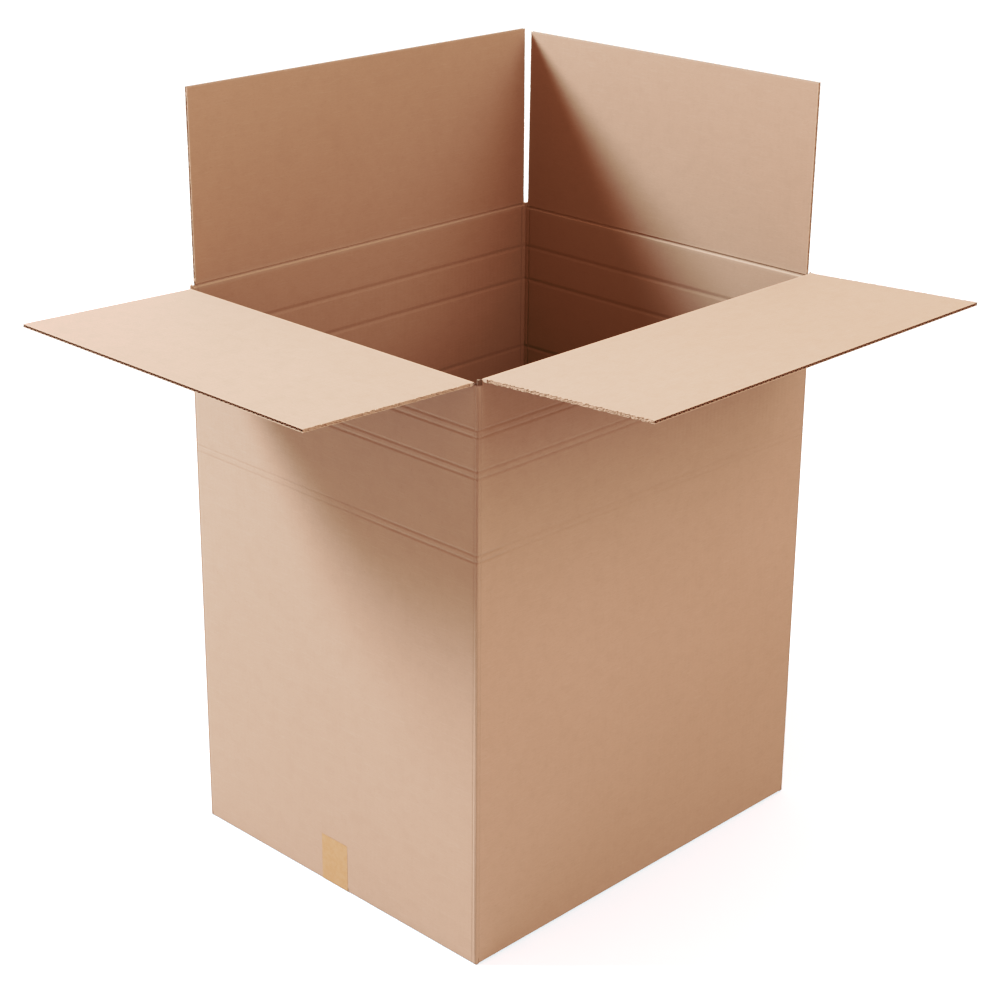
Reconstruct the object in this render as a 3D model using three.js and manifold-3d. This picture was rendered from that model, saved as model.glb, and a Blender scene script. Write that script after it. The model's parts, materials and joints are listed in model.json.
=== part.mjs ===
// Corrugated shipping box with its four top flaps open.
// Millimetres, +Z up. The origin is the middle of the footprint on the floor, +X runs
// along the long walls and +Y along the short ones.
import * as THREE from 'three'
import { mergeVertices } from 'three/addons/utils/BufferGeometryUtils.js'
import initManifold from 'manifold-3d'

// Driving sizes of the box
const BOARD = 4.0 // thickness of the corrugated board
const BOX_LENGTH = 608.0 // outside, along X
const BOX_WIDTH = 510.0 // outside, along Y
const END_CREASE_HEIGHT = 745.0 // floor to the flap crease of the two short walls
const CREASE_STEP = 4.3 // long walls' flap crease above that of the short walls
const END_FLAP_REACH = 250.0 // crease to free edge, short walls
const SIDE_FLAP_REACH = 250.0 // crease to free edge, long walls

// Corners and slots
const CORNER_RADIUS = 3.5 // outside of an upright fold
const INNER_CORNER_RADIUS = 0.8
const CORNER_STEPS = 4
const CORNER_POST = 4.9 // board left at each corner between two slots
const SLOT_CLEARANCE = 0.5 // flap side further in than the corner post
const SLOT_ROUND_RADIUS = 4.5 // rounded floor of a slot
const SLOT_FLOOR_RISE = 0.6 // slot floor above the long walls' crease
const POST_RISE = 2.2 // top of a corner post above that crease
const POST_FOOT = 1.5 // foot of a corner post above the floor

// Flap creases: a pressed bead on the wall, and a hollow in the flap that runs round it
const CREASE_OUTSIDE_DEPTH = 1.5 // bead's centre to the outer face
const BEAD_RADIUS = 0.9
const BEAD_CLEARANCE = 0.2
const BEAD_STEPS = 16
const INNER_BEVEL_START = 0.15
const OUTER_BEVEL_START = 0.4
const OUTER_BEVEL_SLOPE = Math.tan(THREE.MathUtils.degToRad(15))
const CREASE_BAND = 10.0 // height of the wall strip that carries the crease
const NECK_DROP = 0.6 // top of the bevels below the bead's centre

// Pose of each flap, from upright, positive outwards
const FRONT_FLAP_ANGLE = 86.5
const BACK_FLAP_ANGLE = 0.4
const LEFT_FLAP_ANGLE = 88.0
const RIGHT_FLAP_ANGLE = 0.6

// Extra score lines round the walls, measured down from the short walls' flap crease
const SCORE_DROPS = [58.0, 107.0, 209.0]
const SCORE_LINE_GAP = 8.5 // between the two lines on the outside
const OUTER_SCORE_WIDTH = 1.8
const OUTER_SCORE_DEPTH = 0.45
const INNER_SCORE_WIDTH = 2.6
const INNER_SCORE_DEPTH = 0.6

// Bottom flaps, folded shut
const FOLD_RADIUS = 3.0
const FOLD_INNER_RADIUS = 0.8
const FOLD_BAND = 8.0 // height of the wall strip that carries the fold
const LAYER_GAP = 0.3 // between the outer and the inner pair
const SEAM_GAP = 3.0 // between the outer pair
const BOTTOM_END_FLAP_REACH = 250.0 // outer face to free edge, inner pair

// Flute mouths in the free edges
const FLUTE_PITCH = 7.6
const LINER = 0.45
const MEDIUM = 0.35
const FLUTE_FOOT = 2.75 // half width of a mouth at its liner
const FLUTE_TOP = 0.7 // half width at the crest
const MOUTH_DEPTH = 25.0
const EDGE_MARGIN = 3.2 // solid board at each end of a free edge
const INNER_MOUTH_FOOT = 2.6
const INNER_MOUTH_DEPTH = 20.0

// Glued joint at the near corner
const TAB_WIDTH = 35.0
const TAB_END_DROP = 26.0 // tab's top below the short walls' crease
const TAB_FOOT = 30.0
const TAB_TAPER = 9.0
const JOINT_EDGE_SET_IN = 0.6 // raw edge of the long wall behind the short wall's face
const JOINT_GAP = 1.6
const JOINT_GAP_START = 3.8
const JOINT_GAP_DEPTH = 2.6

// Tape over the bottom seam
const TAPE_WIDTH = 48.0
const TAPE_THICKNESS = 0.2
const TAPE_CLEARANCE = 0.05
const TAPE_LEG = 68.0
const TAPE_BEND_RADIUS = 2.6
const TAPE_BEND_STEPS = 4
const TAPE_SINK_MARGIN = 0.5

// Sizes that follow
const HALF_X = BOX_LENGTH / 2
const HALF_Y = BOX_WIDTH / 2
const SIDE_CREASE_HEIGHT = END_CREASE_HEIGHT + CREASE_STEP
const CREASE_INSIDE_DEPTH = BOARD - CREASE_OUTSIDE_DEPTH
const HOLLOW_RADIUS = BEAD_RADIUS + BEAD_CLEARANCE
const SIDE_FLAP_HALF = HALF_X - CORNER_POST - SLOT_CLEARANCE
const END_FLAP_HALF = HALF_Y - CORNER_POST - SLOT_CLEARANCE
const POST_TOP = SIDE_CREASE_HEIGHT + POST_RISE
const INNER_LAYER = BOARD + LAYER_GAP
const PAST = 1.0 // how far a cutter runs past what it cuts

const wasm = await initManifold()
wasm.setup()

const kraft = new THREE.MeshStandardMaterial({ color: 0xb98a63, roughness: 0.88, metalness: 0 })
const tapeFilm = new THREE.MeshStandardMaterial({ color: 0xc79f6b, roughness: 0.42, metalness: 0 })

// shapes and solids

function shapeOf(outline) {
  return new THREE.Shape(outline.map(([x, y]) => new THREE.Vector2(x, y)))
}

// A prism of an outline in the XY plane, from z = low to z = high.
function prism(outline, low, high) {
  return new THREE.ExtrudeGeometry(shapeOf(outline), { depth: high - low, bevelEnabled: false })
    .translate(0, 0, low)
}

// A prism whose outline lies in the YZ plane and which runs along X.
function prismAlongX(outline, low, high) {
  return prism(outline, low, high).applyMatrix4(
    new THREE.Matrix4().makeBasis(
      new THREE.Vector3(0, 1, 0),
      new THREE.Vector3(0, 0, 1),
      new THREE.Vector3(1, 0, 0),
    ),
  )
}

// The same with the outline given as (-X, Z), running along Y: a quarter turn of the one above.
function prismAlongY(outline, low, high) {
  return prismAlongX(outline, low, high).applyMatrix4(new THREE.Matrix4().makeRotationZ(Math.PI / 2))
}

function block(x0, x1, y0, y1, z0, z1) {
  return new THREE.BoxGeometry(x1 - x0, y1 - y0, z1 - z0)
    .translate((x0 + x1) / 2, (y0 + y1) / 2, (z0 + z1) / 2)
}

// A round bar of a radius about the X axis.
function barAlongX(radius, low, high) {
  return new THREE.CylinderGeometry(radius, radius, high - low, BEAD_STEPS)
    .rotateZ(-Math.PI / 2)
    .translate((low + high) / 2, 0, 0)
}

function solid(geometry) {
  geometry.deleteAttribute('normal')
  geometry.deleteAttribute('uv')
  const merged = mergeVertices(geometry, 1e-4)
  return new wasm.Manifold(
    new wasm.Mesh({
      numProp: 3,
      vertProperties: new Float32Array(merged.attributes.position.array),
      triVerts: new Uint32Array(merged.index.array),
    }),
  )
}

function geometryOf(manifold) {
  const { vertProperties, triVerts, numProp } = manifold.getMesh()
  const positions = []
  for (const corner of triVerts) {
    positions.push(...vertProperties.slice(corner * numProp, corner * numProp + 3))
  }
  const geometry = new THREE.BufferGeometry()
  geometry.setAttribute('position', new THREE.Float32BufferAttribute(positions, 3))
  geometry.computeVertexNormals()
  return geometry
}

function named(name, manifold, material) {
  const mesh = new THREE.Mesh(geometryOf(manifold), material)
  mesh.name = name
  return mesh
}

function arc(cx, cy, radius, from, to, steps) {
  const points = []
  for (let i = 0; i <= steps; i++) {
    const turn = THREE.MathUtils.degToRad(from + ((to - from) * i) / steps)
    points.push([cx + radius * Math.cos(turn), cy + radius * Math.sin(turn)])
  }
  return points
}

// walls

function roundedOutline(inset, radius) {
  const x = HALF_X - inset - radius
  const y = HALF_Y - inset - radius
  return [
    ...arc(x, y, radius, 0, 90, CORNER_STEPS),
    ...arc(-x, y, radius, 90, 180, CORNER_STEPS),
    ...arc(-x, -y, radius, 180, 270, CORNER_STEPS),
    ...arc(x, -y, radius, 270, 360, CORNER_STEPS),
  ]
}

// A slab of the outline whose rims bend over a width by a depth, inwards where it is positive.
function rimmedSlab(outline, low, high, width, depth) {
  return new THREE.ExtrudeGeometry(shapeOf(outline), {
    depth: high - low - width,
    bevelEnabled: true,
    bevelSegments: 1,
    bevelThickness: width / 2,
    bevelSize: depth,
    bevelOffset: -depth,
  }).translate(0, 0, low + width / 2)
}

// A stack of slabs between the bottom and the top, with a V groove at each level.
function grooved(outline, levels, bottom, top, width, depth) {
  const marks = [bottom - 2 * width, ...levels, top + 2 * width]
  let stack = solid(prism(outline, bottom, top)).subtract(
    solid(block(-HALF_X - PAST, HALF_X + PAST, -HALF_Y - PAST, HALF_Y + PAST, levels[0] - width / 2, levels[levels.length - 1] + width / 2)),
  )
  for (let i = 0; i + 1 < marks.length; i++) {
    stack = stack.add(solid(rimmedSlab(outline, marks[i], marks[i + 1], width, depth)))
  }
  return stack
    .trimByPlane([0, 0, 1], bottom)
    .trimByPlane([0, 0, -1], -top)
}

function outerSurface() {
  const levels = SCORE_DROPS.flatMap((drop) => [
    END_CREASE_HEIGHT - drop - SCORE_LINE_GAP / 2,
    END_CREASE_HEIGHT - drop + SCORE_LINE_GAP / 2,
  ]).sort((a, b) => a - b)
  return grooved(
    roundedOutline(0, CORNER_RADIUS), levels, POST_FOOT, POST_TOP, OUTER_SCORE_WIDTH, OUTER_SCORE_DEPTH,
  )
}

// The room inside, whose rims bend outwards into the walls.
function innerSurface() {
  const levels = SCORE_DROPS.map((drop) => END_CREASE_HEIGHT - drop).sort((a, b) => a - b)
  return grooved(
    roundedOutline(BOARD, INNER_CORNER_RADIUS), levels, POST_FOOT - PAST, POST_TOP + PAST,
    INNER_SCORE_WIDTH, -INNER_SCORE_DEPTH,
  )
}

// Top of a wall under a flap: (outwards, up) from the bead's centre, counter-clockwise
// for a wall whose outside faces -Y once outwards is turned into -y.
function creaseWallOutline() {
  const outer = CREASE_OUTSIDE_DEPTH
  const inner = -CREASE_INSIDE_DEPTH
  return [
    [outer, -CREASE_BAND],
    [inner, -CREASE_BAND],
    [inner, -INNER_BEVEL_START - CREASE_INSIDE_DEPTH],
    [-(NECK_DROP - INNER_BEVEL_START), -NECK_DROP],
    [OUTER_BEVEL_SLOPE * (NECK_DROP - OUTER_BEVEL_START), -NECK_DROP],
    [outer, -OUTER_BEVEL_START - CREASE_OUTSIDE_DEPTH / OUTER_BEVEL_SLOPE],
  ]
}

function creaseWall(halfLength) {
  const outline = creaseWallOutline().map(([out, up]) => [-out, up])
  const band = solid(prismAlongX(outline, -halfLength, halfLength))
  const bead = solid(barAlongX(BEAD_RADIUS, -halfLength, halfLength))
  return band.add(bead)
}

// Quarter turn count 0 is the wall that faces -Y, 1 is +X, 2 is +Y and 3 is -X.
function placed(manifold, quarterTurns, outwards, height) {
  return manifold
    .translate([0, -outwards, height])
    .rotate([0, 0, 90 * quarterTurns])
}

function bottomFlap(halfWall, reachTo, base, sunk) {
  const y = -halfWall
  const outline = [
    [y, base + FOLD_BAND],
    ...arc(y + FOLD_RADIUS, base + FOLD_RADIUS, FOLD_RADIUS, 180, 270, CORNER_STEPS),
    ...sunk,
    [y + reachTo, base + BOARD],
    ...arc(
      y + BOARD + FOLD_INNER_RADIUS,
      base + BOARD + FOLD_INNER_RADIUS,
      FOLD_INNER_RADIUS,
      270,
      180,
      CORNER_STEPS,
    ),
    [y + BOARD, base + FOLD_BAND],
  ]
  return outline
}

// flute mouths

// Mouths along a free edge, in (along, across) with across from the inner liner's face.
function mouths(halfLength, foot, top) {
  const cavity = BOARD - 2 * LINER
  const tall = cavity - MEDIUM
  const room = 2 * (halfLength - EDGE_MARGIN)
  const count = Math.floor(room / FLUTE_PITCH)
  const shapes = []
  for (let i = 0; i < count; i++) {
    const crest = (i - (count - 1) / 2) * FLUTE_PITCH
    const up = top > 0
      ? [[crest - foot, 0], [crest + foot, 0], [crest + top, tall], [crest - top, tall]]
      : [[crest - foot, 0], [crest + foot, 0], [crest, tall]]
    shapes.push(up.map(([a, b]) => [a, b + LINER]))
    if (i + 1 < count) {
      const trough = crest + FLUTE_PITCH / 2
      const down = up.map(([a, b]) => [trough - (a - crest), cavity - b + LINER])
      shapes.push(down)
    }
  }
  return shapes
}

// All mouths as one set of prisms along +Z, with the outline's second axis turned by toY.
function mouthCutters(shapes, toY, low, high) {
  const outlines = shapes.map((shape) => shapeOf(shape.map(([a, b]) => [a, toY(b)])))
  return solid(
    new THREE.ExtrudeGeometry(outlines, { depth: high - low, bevelEnabled: false })
      .translate(0, 0, low),
  )
}

// the folded box

function boxBody() {
  let body = outerSurface().subtract(innerSurface())

  // Room for the bottom folds and for the creases between the corner posts
  const postX = HALF_X - CORNER_POST
  const postY = HALF_Y - CORNER_POST
  body = body
    .subtract(solid(block(-postX, postX, -HALF_Y - PAST, HALF_Y + PAST, -PAST, FOLD_BAND)))
    .subtract(
      solid(block(-HALF_X - PAST, HALF_X + PAST, -postY, postY, -PAST, INNER_LAYER + FOLD_BAND)),
    )
    .subtract(
      solid(
        block(
          -postX, postX, -HALF_Y - PAST, HALF_Y + PAST,
          SIDE_CREASE_HEIGHT - CREASE_BAND, POST_TOP + PAST,
        ),
      ),
    )
    .subtract(
      solid(
        block(
          -HALF_X - PAST, HALF_X + PAST, -postY, postY,
          END_CREASE_HEIGHT - CREASE_BAND, POST_TOP + PAST,
        ),
      ),
    )

  const sideWall = creaseWall(postX)
  const endWall = creaseWall(postY)
  const axisY = HALF_Y - CREASE_OUTSIDE_DEPTH
  const axisX = HALF_X - CREASE_OUTSIDE_DEPTH
  body = body
    .add(placed(sideWall, 0, axisY, SIDE_CREASE_HEIGHT))
    .add(placed(sideWall, 2, axisY, SIDE_CREASE_HEIGHT))
    .add(placed(endWall, 1, axisX, END_CREASE_HEIGHT))
    .add(placed(endWall, 3, axisX, END_CREASE_HEIGHT))

  // Outer pair of bottom flaps, pressed in by the tape's thickness along the seam
  const sink = TAPE_THICKNESS + TAPE_CLEARANCE
  const seamY = -SEAM_GAP / 2
  const sinkY = -TAPE_WIDTH / 2 - TAPE_SINK_MARGIN
  const sideOutline = bottomFlap(HALF_Y, HALF_Y + seamY, 0, [
    [sinkY, 0],
    [sinkY, sink],
    [seamY, sink],
  ])
  const sideBottom = solid(prismAlongX(sideOutline, -SIDE_FLAP_HALF, SIDE_FLAP_HALF))
  body = body.add(sideBottom).add(sideBottom.rotate([0, 0, 180]))

  // Inner pair, with open flute mouths in the free edges
  const endOutline = bottomFlap(HALF_X, BOTTOM_END_FLAP_REACH, INNER_LAYER, [
    [-HALF_X + BOTTOM_END_FLAP_REACH, INNER_LAYER],
  ])
  const cut = mouthCutters(mouths(END_FLAP_HALF, INNER_MOUTH_FOOT, 0), (b) => b, -PAST, INNER_MOUTH_DEPTH)
    .rotate([90, 0, 0])
    .translate([0, -HALF_X + BOTTOM_END_FLAP_REACH, INNER_LAYER])
  const endBottom = solid(prismAlongX(endOutline, -END_FLAP_HALF, END_FLAP_HALF)).subtract(cut)
  body = body.add(endBottom.rotate([0, 0, 90])).add(endBottom.rotate([0, 0, -90]))

  // Rounded floor of each slot, cut across the corner
  for (const turn of [45, 135, 225, 315]) {
    const corner = new THREE.Vector3(turn === 45 || turn === 315 ? HALF_X : -HALF_X, turn < 180 ? HALF_Y : -HALF_Y)
    const cutter = solid(barAlongX(SLOT_ROUND_RADIUS, -3 * BOARD, 3 * BOARD))
      .rotate([0, 0, turn])
      .translate([corner.x, corner.y, SIDE_CREASE_HEIGHT + SLOT_FLOOR_RISE + SLOT_ROUND_RADIUS])
    body = body.subtract(cutter)
  }

  // Glued joint: the short wall's tab inside the long wall, and the gap beside its fold
  const innerFace = -HALF_Y + BOARD
  const tabStart = -HALF_X + BOARD
  const tabTop = END_CREASE_HEIGHT - TAB_END_DROP
  const tab = solid(
    prism(
      [
        [tabStart, TAB_FOOT],
        [tabStart + TAB_WIDTH, TAB_FOOT + TAB_TAPER],
        [tabStart + TAB_WIDTH, tabTop - TAB_TAPER],
        [tabStart, tabTop],
      ],
      0,
      BOARD + PAST,
    ),
  )
    .rotate([90, 0, 0])
    .translate([0, innerFace + BOARD, 0])
  body = body.add(tab)
  const gapStart = -HALF_Y + JOINT_GAP_START
  const jointGap = solid(
    prism(
      [
        [-HALF_X - PAST, -HALF_Y - PAST],
        [-HALF_X + JOINT_EDGE_SET_IN, -HALF_Y - PAST],
        [-HALF_X + JOINT_EDGE_SET_IN, gapStart],
        [-HALF_X + JOINT_GAP_DEPTH, gapStart + JOINT_GAP * 0.2],
        [-HALF_X + JOINT_GAP_DEPTH, gapStart + JOINT_GAP * 0.45],
        [-HALF_X + JOINT_GAP_DEPTH * 0.35, gapStart + JOINT_GAP],
        [-HALF_X, gapStart + JOINT_GAP + CORNER_RADIUS * 0.6],
        [-HALF_X - PAST, gapStart + JOINT_GAP + CORNER_RADIUS * 0.6],
      ],
      POST_FOOT - PAST,
      POST_TOP + PAST,
    ),
  )
  return body.subtract(jointGap)
}

// top flaps

// A flap upright over its crease: X along the crease, -Y outwards, Z to the free edge.
function flap(halfWidth, reach) {
  const outer = CREASE_OUTSIDE_DEPTH
  const inner = CREASE_INSIDE_DEPTH
  const lip = (start, slope) => {
    // where a bevel leaves the hollow: across = slope * (up - start) on the hollow's radius
    const a = 1 + slope * slope
    const b = -2 * slope * slope * start
    const c = slope * slope * start * start - HOLLOW_RADIUS * HOLLOW_RADIUS
    const up = (-b + Math.sqrt(b * b - 4 * a * c)) / (2 * a)
    return [slope * (up - start), up]
  }
  const [outLip, outUp] = lip(OUTER_BEVEL_START, OUTER_BEVEL_SLOPE)
  const [inLip, inUp] = lip(INNER_BEVEL_START, 1)
  const from = THREE.MathUtils.radToDeg(Math.atan2(inUp, inLip))
  const to = THREE.MathUtils.radToDeg(Math.atan2(outUp, -outLip))
  const outline = [
    ...arc(0, 0, HOLLOW_RADIUS, to, from, 5),
    [inner, INNER_BEVEL_START + inner],
    [inner, reach],
    [-outer, reach],
    [-outer, OUTER_BEVEL_START + outer / OUTER_BEVEL_SLOPE],
  ]
  const cut = mouthCutters(
    mouths(halfWidth, FLUTE_FOOT, FLUTE_TOP),
    (b) => inner - b,
    reach - MOUTH_DEPTH,
    reach + PAST,
  )
  return solid(prismAlongX(outline, -halfWidth, halfWidth)).subtract(cut)
}

function hinged(name, halfWidth, reach, quarterTurns, outwards, height, angle) {
  const mesh = named(name, flap(halfWidth, reach), kraft)
  mesh.rotation.x = THREE.MathUtils.degToRad(angle)
  mesh.position.set(0, -outwards, height)
  const wall = new THREE.Group()
  wall.rotation.z = (Math.PI / 2) * quarterTurns
  wall.add(mesh)
  return wall
}

// tape

function seamTape() {
  const out = HALF_X + TAPE_CLEARANCE + TAPE_THICKNESS
  const bend = TAPE_BEND_RADIUS + TAPE_THICKNESS
  const outside = [
    [-out, TAPE_LEG],
    ...arc(-out + bend, bend, bend, 180, 270, TAPE_BEND_STEPS),
    ...arc(out - bend, bend, bend, 270, 360, TAPE_BEND_STEPS),
    [out, TAPE_LEG],
  ]
  const inside = [
    [out - TAPE_THICKNESS, TAPE_LEG],
    ...arc(out - bend, bend, TAPE_BEND_RADIUS, 360, 270, TAPE_BEND_STEPS),
    ...arc(-out + bend, bend, TAPE_BEND_RADIUS, 270, 180, TAPE_BEND_STEPS),
    [-out + TAPE_THICKNESS, TAPE_LEG],
  ]
  return solid(prismAlongY([...outside, ...inside], -TAPE_WIDTH / 2, TAPE_WIDTH / 2))
}

// assembly

const box = new THREE.Group()
box.name = 'corrugated_shipping_box'
box.add(named('box_body', boxBody(), kraft))
box.add(named('bottom_seam_tape', seamTape(), tapeFilm))
const sideAxis = HALF_Y - CREASE_OUTSIDE_DEPTH
const endAxis = HALF_X - CREASE_OUTSIDE_DEPTH
box.add(
  hinged('front_side_flap', SIDE_FLAP_HALF, SIDE_FLAP_REACH, 0, sideAxis, SIDE_CREASE_HEIGHT, FRONT_FLAP_ANGLE),
)
box.add(
  hinged('right_end_flap', END_FLAP_HALF, END_FLAP_REACH, 1, endAxis, END_CREASE_HEIGHT, RIGHT_FLAP_ANGLE),
)
box.add(
  hinged('back_side_flap', SIDE_FLAP_HALF, SIDE_FLAP_REACH, 2, sideAxis, SIDE_CREASE_HEIGHT, BACK_FLAP_ANGLE),
)
box.add(
  hinged('left_end_flap', END_FLAP_HALF, END_FLAP_REACH, 3, endAxis, END_CREASE_HEIGHT, LEFT_FLAP_ANGLE),
)

export default box
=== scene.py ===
"""Looks of a corrugated shipping box with its top flaps open.

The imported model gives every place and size. This file gives the box its kraft board, open flutes,
pressed creases and packing tape, and sets the camera, the light and the floor. Lengths are in
metres, +Z is up, and the near corner of the box is at low X and low Y.
"""

import json
import logging
import math
from dataclasses import dataclass, field
from enum import Enum
from typing import Callable, ClassVar, Iterable, Sequence, Union

import bmesh
import bpy
from mathutils import Matrix, Vector

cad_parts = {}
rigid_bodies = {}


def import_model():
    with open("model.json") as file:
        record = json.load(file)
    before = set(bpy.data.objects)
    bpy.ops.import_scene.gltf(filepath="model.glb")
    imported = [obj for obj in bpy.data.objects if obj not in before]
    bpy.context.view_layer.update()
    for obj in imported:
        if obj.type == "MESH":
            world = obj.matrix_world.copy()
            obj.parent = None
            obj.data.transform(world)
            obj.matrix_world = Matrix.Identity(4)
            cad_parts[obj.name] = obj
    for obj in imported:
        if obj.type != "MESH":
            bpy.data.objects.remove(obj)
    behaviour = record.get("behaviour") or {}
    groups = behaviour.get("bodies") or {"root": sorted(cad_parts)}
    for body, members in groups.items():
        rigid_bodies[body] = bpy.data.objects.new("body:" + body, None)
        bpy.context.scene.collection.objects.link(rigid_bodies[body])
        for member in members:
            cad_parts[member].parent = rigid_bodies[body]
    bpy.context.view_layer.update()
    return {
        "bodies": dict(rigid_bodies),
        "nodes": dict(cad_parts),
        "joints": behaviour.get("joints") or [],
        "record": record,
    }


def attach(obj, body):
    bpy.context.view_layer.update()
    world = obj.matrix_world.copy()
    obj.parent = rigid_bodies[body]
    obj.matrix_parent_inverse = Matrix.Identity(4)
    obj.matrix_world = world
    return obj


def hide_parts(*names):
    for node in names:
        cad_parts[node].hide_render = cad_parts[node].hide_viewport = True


LOG = logging.getLogger("shipping_box")
MM = 0.001
Colour = tuple[float, float, float]
Operand = Union["Wire", float, int]
Test = Callable[[Vector], bool]


class Wire:
    """A shader socket that can stand in a Python expression."""

    def __init__(self, graph: "Graph", socket: bpy.types.NodeSocket) -> None:
        """Holds the socket and the graph that it belongs to."""
        self.graph = graph
        self.socket = socket

    def _with(self, operation: str, *others: Operand) -> "Wire":
        """Adds a Math node on this wire and others."""
        return self.graph.math(operation, self, *others)

    def __add__(self, other: Operand) -> "Wire":
        """Sum."""
        return self._with("ADD", other)

    def __sub__(self, other: Operand) -> "Wire":
        """Difference."""
        return self._with("SUBTRACT", other)

    def __rsub__(self, other: Operand) -> "Wire":
        """Difference with the wire on the right."""
        return self.graph.math("SUBTRACT", other, self)

    def __mul__(self, other: Operand) -> "Wire":
        """Product."""
        return self._with("MULTIPLY", other)

    __rmul__ = __mul__

    def __abs__(self) -> "Wire":
        """Size without its sign."""
        return self._with("ABSOLUTE")

    def sin(self) -> "Wire":
        """Sine of the wire, in radians."""
        return self._with("SINE")

    def at_most(self, other: Operand) -> "Wire":
        """Smaller of two values."""
        return self._with("MINIMUM", other)

    def at_least(self, other: Operand) -> "Wire":
        """Larger of two values."""
        return self._with("MAXIMUM", other)

    def above(self, limit: float) -> "Wire":
        """One where the wire is over the limit, zero elsewhere."""
        return self._with("GREATER_THAN", limit)

    def ramp(self, low: float, high: float) -> "Wire":
        """Rises smoothly from 0 at low to 1 at high, or falls where low is the larger.

        Args:
            low: Value that gives 0.
            high: Value that gives 1.

        Returns:
            The smooth step.
        """
        node = self.graph.node(
            "ShaderNodeMapRange",
            {"interpolation_type": "SMOOTHSTEP"},
            {"Value": self, "From Min": min(low, high), "From Max": max(low, high)},
        )
        step = Wire(self.graph, node.outputs["Result"])
        return step if low <= high else 1 - step


class Graph:
    """The nodes of one material."""

    def __init__(self, name: str) -> None:
        """Starts an empty material with a principled shader."""
        self.material = bpy.data.materials.new(name)
        self.material.use_nodes = True
        self.tree = self.material.node_tree
        self.tree.nodes.clear()
        self.shader = self.node("ShaderNodeBsdfPrincipled")
        output = self.node("ShaderNodeOutputMaterial")
        self.tree.links.new(self.shader.outputs[0], output.inputs["Surface"])

    def node(
        self,
        kind: str,
        settings: dict[str, object] | None = None,
        sockets: dict[str | int, object] | None = None,
    ) -> bpy.types.Node:
        """Adds a node.

        Args:
            kind: Blender's name of the node's type.
            settings: Properties of the node, set first.
            sockets: Values or wires of its inputs, by name or number.

        Returns:
            The new node.
        """
        made = self.tree.nodes.new(kind)
        for key, value in (settings or {}).items():
            setattr(made, key, value)
        for key, value in (sockets or {}).items():
            self.feed(made.inputs[key], value)
        return made

    def feed(self, socket: bpy.types.NodeSocket, value: object) -> None:
        """Links a wire to a socket, or sets the socket's own value.

        Args:
            socket: The input.
            value: A wire, a node's output, a number or a tuple.
        """
        if isinstance(value, Wire):
            self.tree.links.new(value.socket, socket)
        elif isinstance(value, bpy.types.NodeSocket):
            self.tree.links.new(value, socket)
        elif isinstance(value, tuple) and socket.type == "RGBA":
            socket.default_value = (*value[:3], 1.0)
        else:
            socket.default_value = value

    def math(self, operation: str, *values: Operand) -> Wire:
        """Adds a Math node with these inputs, and gives its result."""
        node = self.node("ShaderNodeMath", {"operation": operation}, dict(enumerate(values)))
        return Wire(self, node.outputs[0])

    def mix(self, share: Operand, first: object, second: object) -> bpy.types.NodeSocket:
        """Mixes two colours.

        Args:
            share: How much of the second, from 0 to 1.
            first: Colour or output.
            second: Colour or output.

        Returns:
            The mixed colour's output.
        """
        sockets = {0: share, 6: first, 7: second}
        return self.node("ShaderNodeMix", {"data_type": "RGBA"}, sockets).outputs[2]

    def shade(self, colour: object, factor: Wire) -> bpy.types.NodeSocket:
        """Multiplies a colour by a wire, and gives the result's output."""
        node = self.node(
            "ShaderNodeVectorMath", {"operation": "SCALE"}, {"Vector": colour, "Scale": factor}
        )
        return node.outputs["Vector"]

    def split(self, vector: object) -> tuple[Wire, Wire, Wire]:
        """Splits an output's vector into its X, Y and Z."""
        node = self.node("ShaderNodeSeparateXYZ", None, {0: vector})
        return Wire(self, node.outputs[0]), Wire(self, node.outputs[1]), Wire(self, node.outputs[2])

    def join(self, x: Operand, y: Operand, z: Operand) -> bpy.types.NodeSocket:
        """Joins three numbers into a vector, and gives its output."""
        return self.node("ShaderNodeCombineXYZ", None, {0: x, 1: y, 2: z}).outputs[0]

    def noise(self, where: object, scale: float, detail: float = 3.0, rough: float = 0.55) -> Wire:
        """Adds fractal noise between 0 and 1.

        Args:
            where: Output that gives the place.
            scale: Waves per metre of that place.
            detail: Octaves.
            rough: Strength of each finer octave.

        Returns:
            The noise.
        """
        sockets = {"Vector": where, "Scale": scale, "Detail": detail, "Roughness": rough}
        return Wire(self, self.node("ShaderNodeTexNoise", None, sockets).outputs[0])

    def washboard(self, along: Wire, pitch: float) -> Wire:
        """Relief of a liner over its flutes, as faint waves from 0 to 1."""
        return (along * (2 * math.pi / pitch)).sin() * 0.5 + 0.5

    def bump(self, height: Wire, depth: float, under: object = None) -> bpy.types.NodeSocket:
        """Adds a Bump node.

        Args:
            height: Relief from 0 to 1.
            depth: Metres that 1 stands for.
            under: Normal to start from.

        Returns:
            The bent normal's output.
        """
        sockets: dict[str | int, object] = {"Height": height, "Strength": 1.0, "Distance": depth}
        if under is not None:
            sockets["Normal"] = under
        return self.node("ShaderNodeBump", None, sockets).outputs[0]

    def finish(
        self, colour: object, roughness: object, normal: object, specular: float = 0.5
    ) -> bpy.types.Material:
        """Connects the shader.

        Args:
            colour: Base colour.
            roughness: Roughness.
            normal: Normal.
            specular: Specular level.

        Returns:
            The material.
        """
        self.feed(self.shader.inputs["Base Color"], colour)
        self.feed(self.shader.inputs["Roughness"], roughness)
        self.feed(self.shader.inputs["Normal"], normal)
        self.shader.inputs["Specular IOR Level"].default_value = specular
        return self.material


class Wall(Enum):
    """The four walls by the way their outside faces, as quarter turns from -Y."""

    FRONT = 0
    RIGHT = 1
    BACK = 2
    LEFT = 3


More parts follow.
